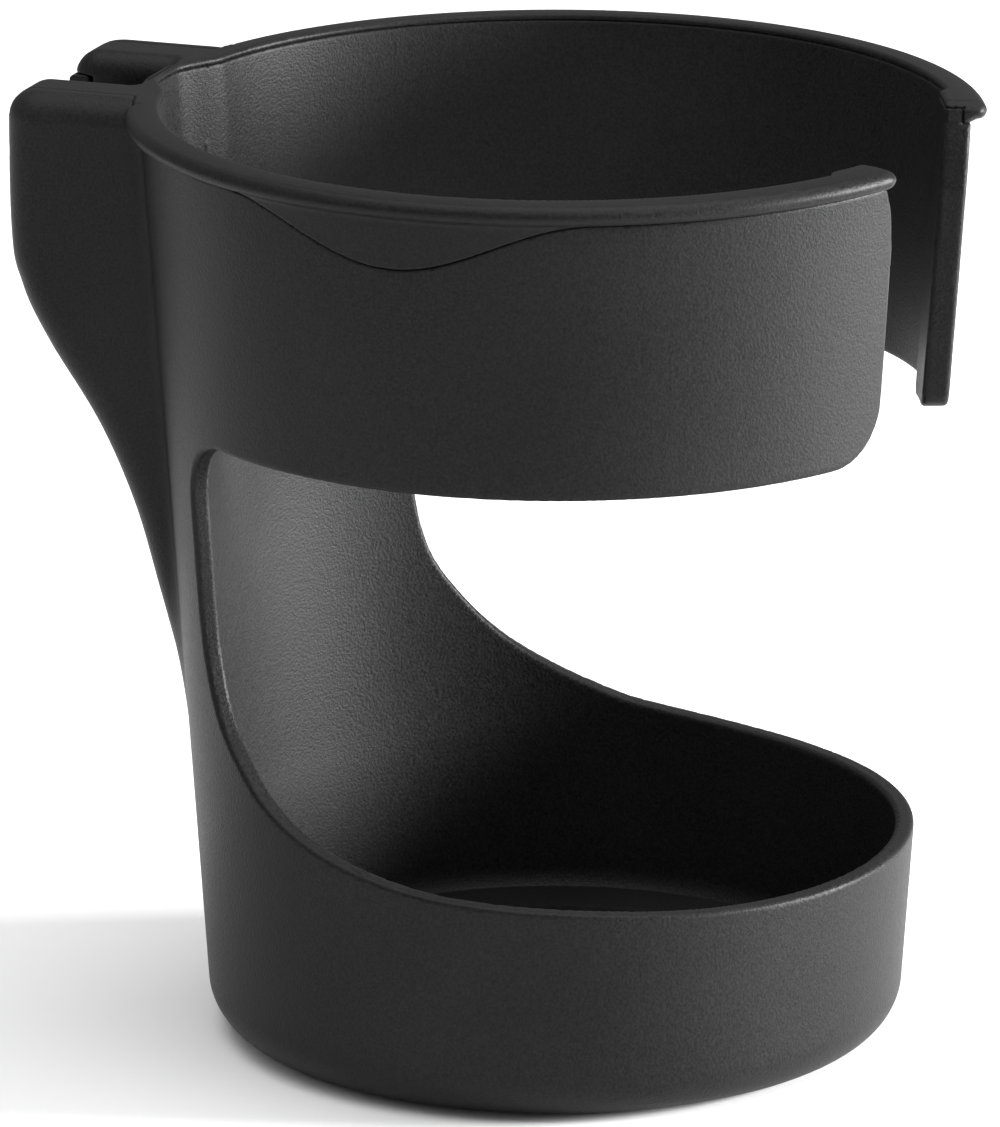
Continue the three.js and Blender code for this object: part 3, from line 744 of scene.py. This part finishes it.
SHELL = moulded_plastic(
    "shell_plastic", dark=(0.004, 0.004, 0.0041), light=(0.017, 0.017, 0.0173), grain=0.28, roughness=0.46,
)
TRIM = moulded_plastic(
    "trim_plastic", dark=(0.004, 0.004, 0.0041), light=(0.015, 0.015, 0.0153), grain=0.22, roughness=0.44,
)
LATCH = moulded_plastic(
    "latch_plastic", dark=(0.018, 0.018, 0.019), light=(0.034, 0.034, 0.035), grain=0.3, roughness=0.45,
)
LINER = moulded_plastic(
    "liner_plastic", dark=(0.030, 0.030, 0.031), light=(0.050, 0.050, 0.052), grain=0.15, roughness=0.35,
)
RUBBER = rubber("mat_rubber")
STEEL = plated_steel("plated_steel")


def cell_size(fine):
    return fine


add_piece(
    "body_moulding", body_field, (-44, -43, 0), (44, BACK, HEIGHT), cell_size(0.45),
    SHELL, "holder", "holder_body", fine_from=91,
)
add_piece(
    "rim_moulding", trim_field, (-46, -46, 91.5), (46, BACK, HEIGHT), cell_size(0.28),
    TRIM, "holder", "rim_trim",
)
add_piece(
    "floor_mat", mat_field, (-33, -33, 2.4), (33, 33, 4.6), cell_size(0.5),
    RUBBER, "holder", "base_mat",
)
add_piece(
    "rear_cover", cover_field, (-13, 48, 73), (13, BACK, 98), cell_size(0.25),
    SHELL, "holder", "back_cover",
)
add_piece(
    "release_lever", lever_field, (-4.5, 46, 77), (4.5, 54, 99), cell_size(0.2),
    LATCH, "latch", "latch_lever",
)
for side, node in ((-1, "slide_liner_left"), (1, "slide_liner_right")):
    add_piece(
        f"slide_strip_{'left' if side < 0 else 'right'}",
        lambda x, y, z, side=side: np.maximum(liner_field(x, y, z), -side * x),
        (min(side * 7, side * 8.4), 43, 69.5), (max(side * 7, side * 8.4), 50.5, 85.5),
        cell_size(0.2), LINER, "holder", node,
    )
add_piece(
    "pivot_pin", lambda x, y, z: rod_x(x, y, z, (PIVOT_Y, PIVOT_Z), PIN_RADIUS, PIN_HALF, 0.3),
    (-12.2, 50, 87), (12.2, 53, 90), cell_size(0.15), STEEL, "holder", "latch_pin",
)
places = [(x, z) for z in SCREW_HEIGHTS for x in (-SCREW_X, SCREW_X)]
for number, (x, z) in enumerate(places, 1):
    face = float(np.interp(z, BACK_Z, BACK_Y)) - HEAD_SUNK
    add_piece(
        f"cross_head_screw_{number}", screw_field, (-1.7, -6.1, -1.7), (1.7, 0.1, 1.7),
        cell_size(0.13), STEEL, "holder", f"cover_screw_{number}", (x, face, z),
    )


def add_spring():
    """The latch's torsion spring: a wire helix round the pin with a leg up one end."""
    curve = bpy.data.curves.new("torsion_spring", "CURVE")
    curve.dimensions = "3D"
    curve.bevel_depth = SPRING_WIRE_RADIUS * MM
    curve.bevel_resolution = 4
    curve.use_fill_caps = True
    t = np.linspace(0, 1, SPRING_TURNS * 32 + 1)
    angle = 2 * math.pi * SPRING_TURNS * t
    x = (t - 0.5) * SPRING_TURNS * SPRING_PITCH
    y = PIVOT_Y - SPRING_RADIUS * np.cos(angle)
    z = PIVOT_Z + SPRING_RADIUS * np.sin(angle)
    leg = np.array([[x[-1], y[-1], z[-1] + rise] for rise in SPRING_LEG])
    points = np.vstack([np.stack([x, y, z], 1), leg]) * MM
    line = curve.splines.new("POLY")
    line.points.add(len(points) - 1)
    line.points.foreach_set("co", np.hstack([points, np.ones((len(points), 1))]).ravel())
    spring = bpy.data.objects.new("torsion_spring", curve)
    bpy.context.scene.collection.objects.link(spring)
    spring.data.materials.append(STEEL)
    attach(spring, "latch")
    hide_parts("latch_spring")


add_spring()


# ---- floor, light and camera -----------------------------------------------

def add_floor():
    """A plain pale floor, a hair below the object."""
    half, top = 3.0, -0.0002
    mesh = bpy.data.meshes.new("studio_floor")
    corners = [(-half, -half, top), (half, -half, top), (half, half, top), (-half, half, top)]
    mesh.from_pydata(corners, [], [(0, 1, 2, 3)])
    floor = bpy.data.objects.new("studio_floor", mesh)
    bpy.context.scene.collection.objects.link(floor)
    n = Nodes("floor_paper")
    place = n.add("ShaderNodeTexCoord").outputs["Object"]
    n.link(n.mix(n.noise(place, 6), (0.90, 0.90, 0.90), (0.93, 0.93, 0.93)), n.shader.inputs["Base Color"])
    n.shader.inputs["Roughness"].default_value = 0.9
    mesh.materials.append(n.material)


def add_light(name, azimuth, elevation, distance, size, power, target=(0, 0, 0.055)):
    """A square soft light that looks at the object from a bearing counted as views are."""
    a, e = math.radians(azimuth), math.radians(elevation)
    back = Vector((math.sin(a) * math.cos(e), -math.cos(a) * math.cos(e), math.sin(e)))
    light = bpy.data.lights.new(name, "AREA")
    light.size = size
    light.energy = power
    lamp = bpy.data.objects.new(name, light)
    lamp.location = Vector(target) + back * distance
    lamp.rotation_euler = (-back).to_track_quat("-Z", "Y").to_euler()
    bpy.context.scene.collection.objects.link(lamp)


VIEW_AZIMUTH = -71.0
CAMERA_DISTANCE = 1.017
CAMERA_HEIGHT = 0.344
CAMERA_PITCH = 16.12
CAMERA_YAW = 0.332
CAMERA_LENS = 320.42
SENSOR = 36.0

add_floor()
add_light("left_softbox", VIEW_AZIMUTH - 70, elevation=35, distance=0.9, size=0.4, power=0.6)
add_light("right_softbox", VIEW_AZIMUTH + 90, elevation=10, distance=0.9, size=0.3, power=33)
add_light("top_softbox", VIEW_AZIMUTH, elevation=86, distance=1.2, size=1.6, power=21)

world = bpy.data.worlds.new("studio")
world.use_nodes = True
world.node_tree.nodes["Background"].inputs["Color"].default_value = (1, 1, 1, 1)
world.node_tree.nodes["Background"].inputs["Strength"].default_value = 0.3
bpy.context.scene.world = world
bpy.context.scene.view_settings.view_transform = "Standard"

camera_data = bpy.data.cameras.new("camera")
camera_data.sensor_width = SENSOR
camera_data.lens = CAMERA_LENS
camera_data.clip_end = 20
camera = bpy.data.objects.new("camera", camera_data)
bearing = math.radians(VIEW_AZIMUTH)
camera.location = (
    math.sin(bearing) * CAMERA_DISTANCE,
    -math.cos(bearing) * CAMERA_DISTANCE,
    CAMERA_HEIGHT,
)
camera.rotation_euler = (math.radians(90 - CAMERA_PITCH), 0, bearing + math.radians(CAMERA_YAW))
bpy.context.scene.collection.objects.link(camera)
bpy.context.scene.camera = camera

bpy.context.view_layer.update()
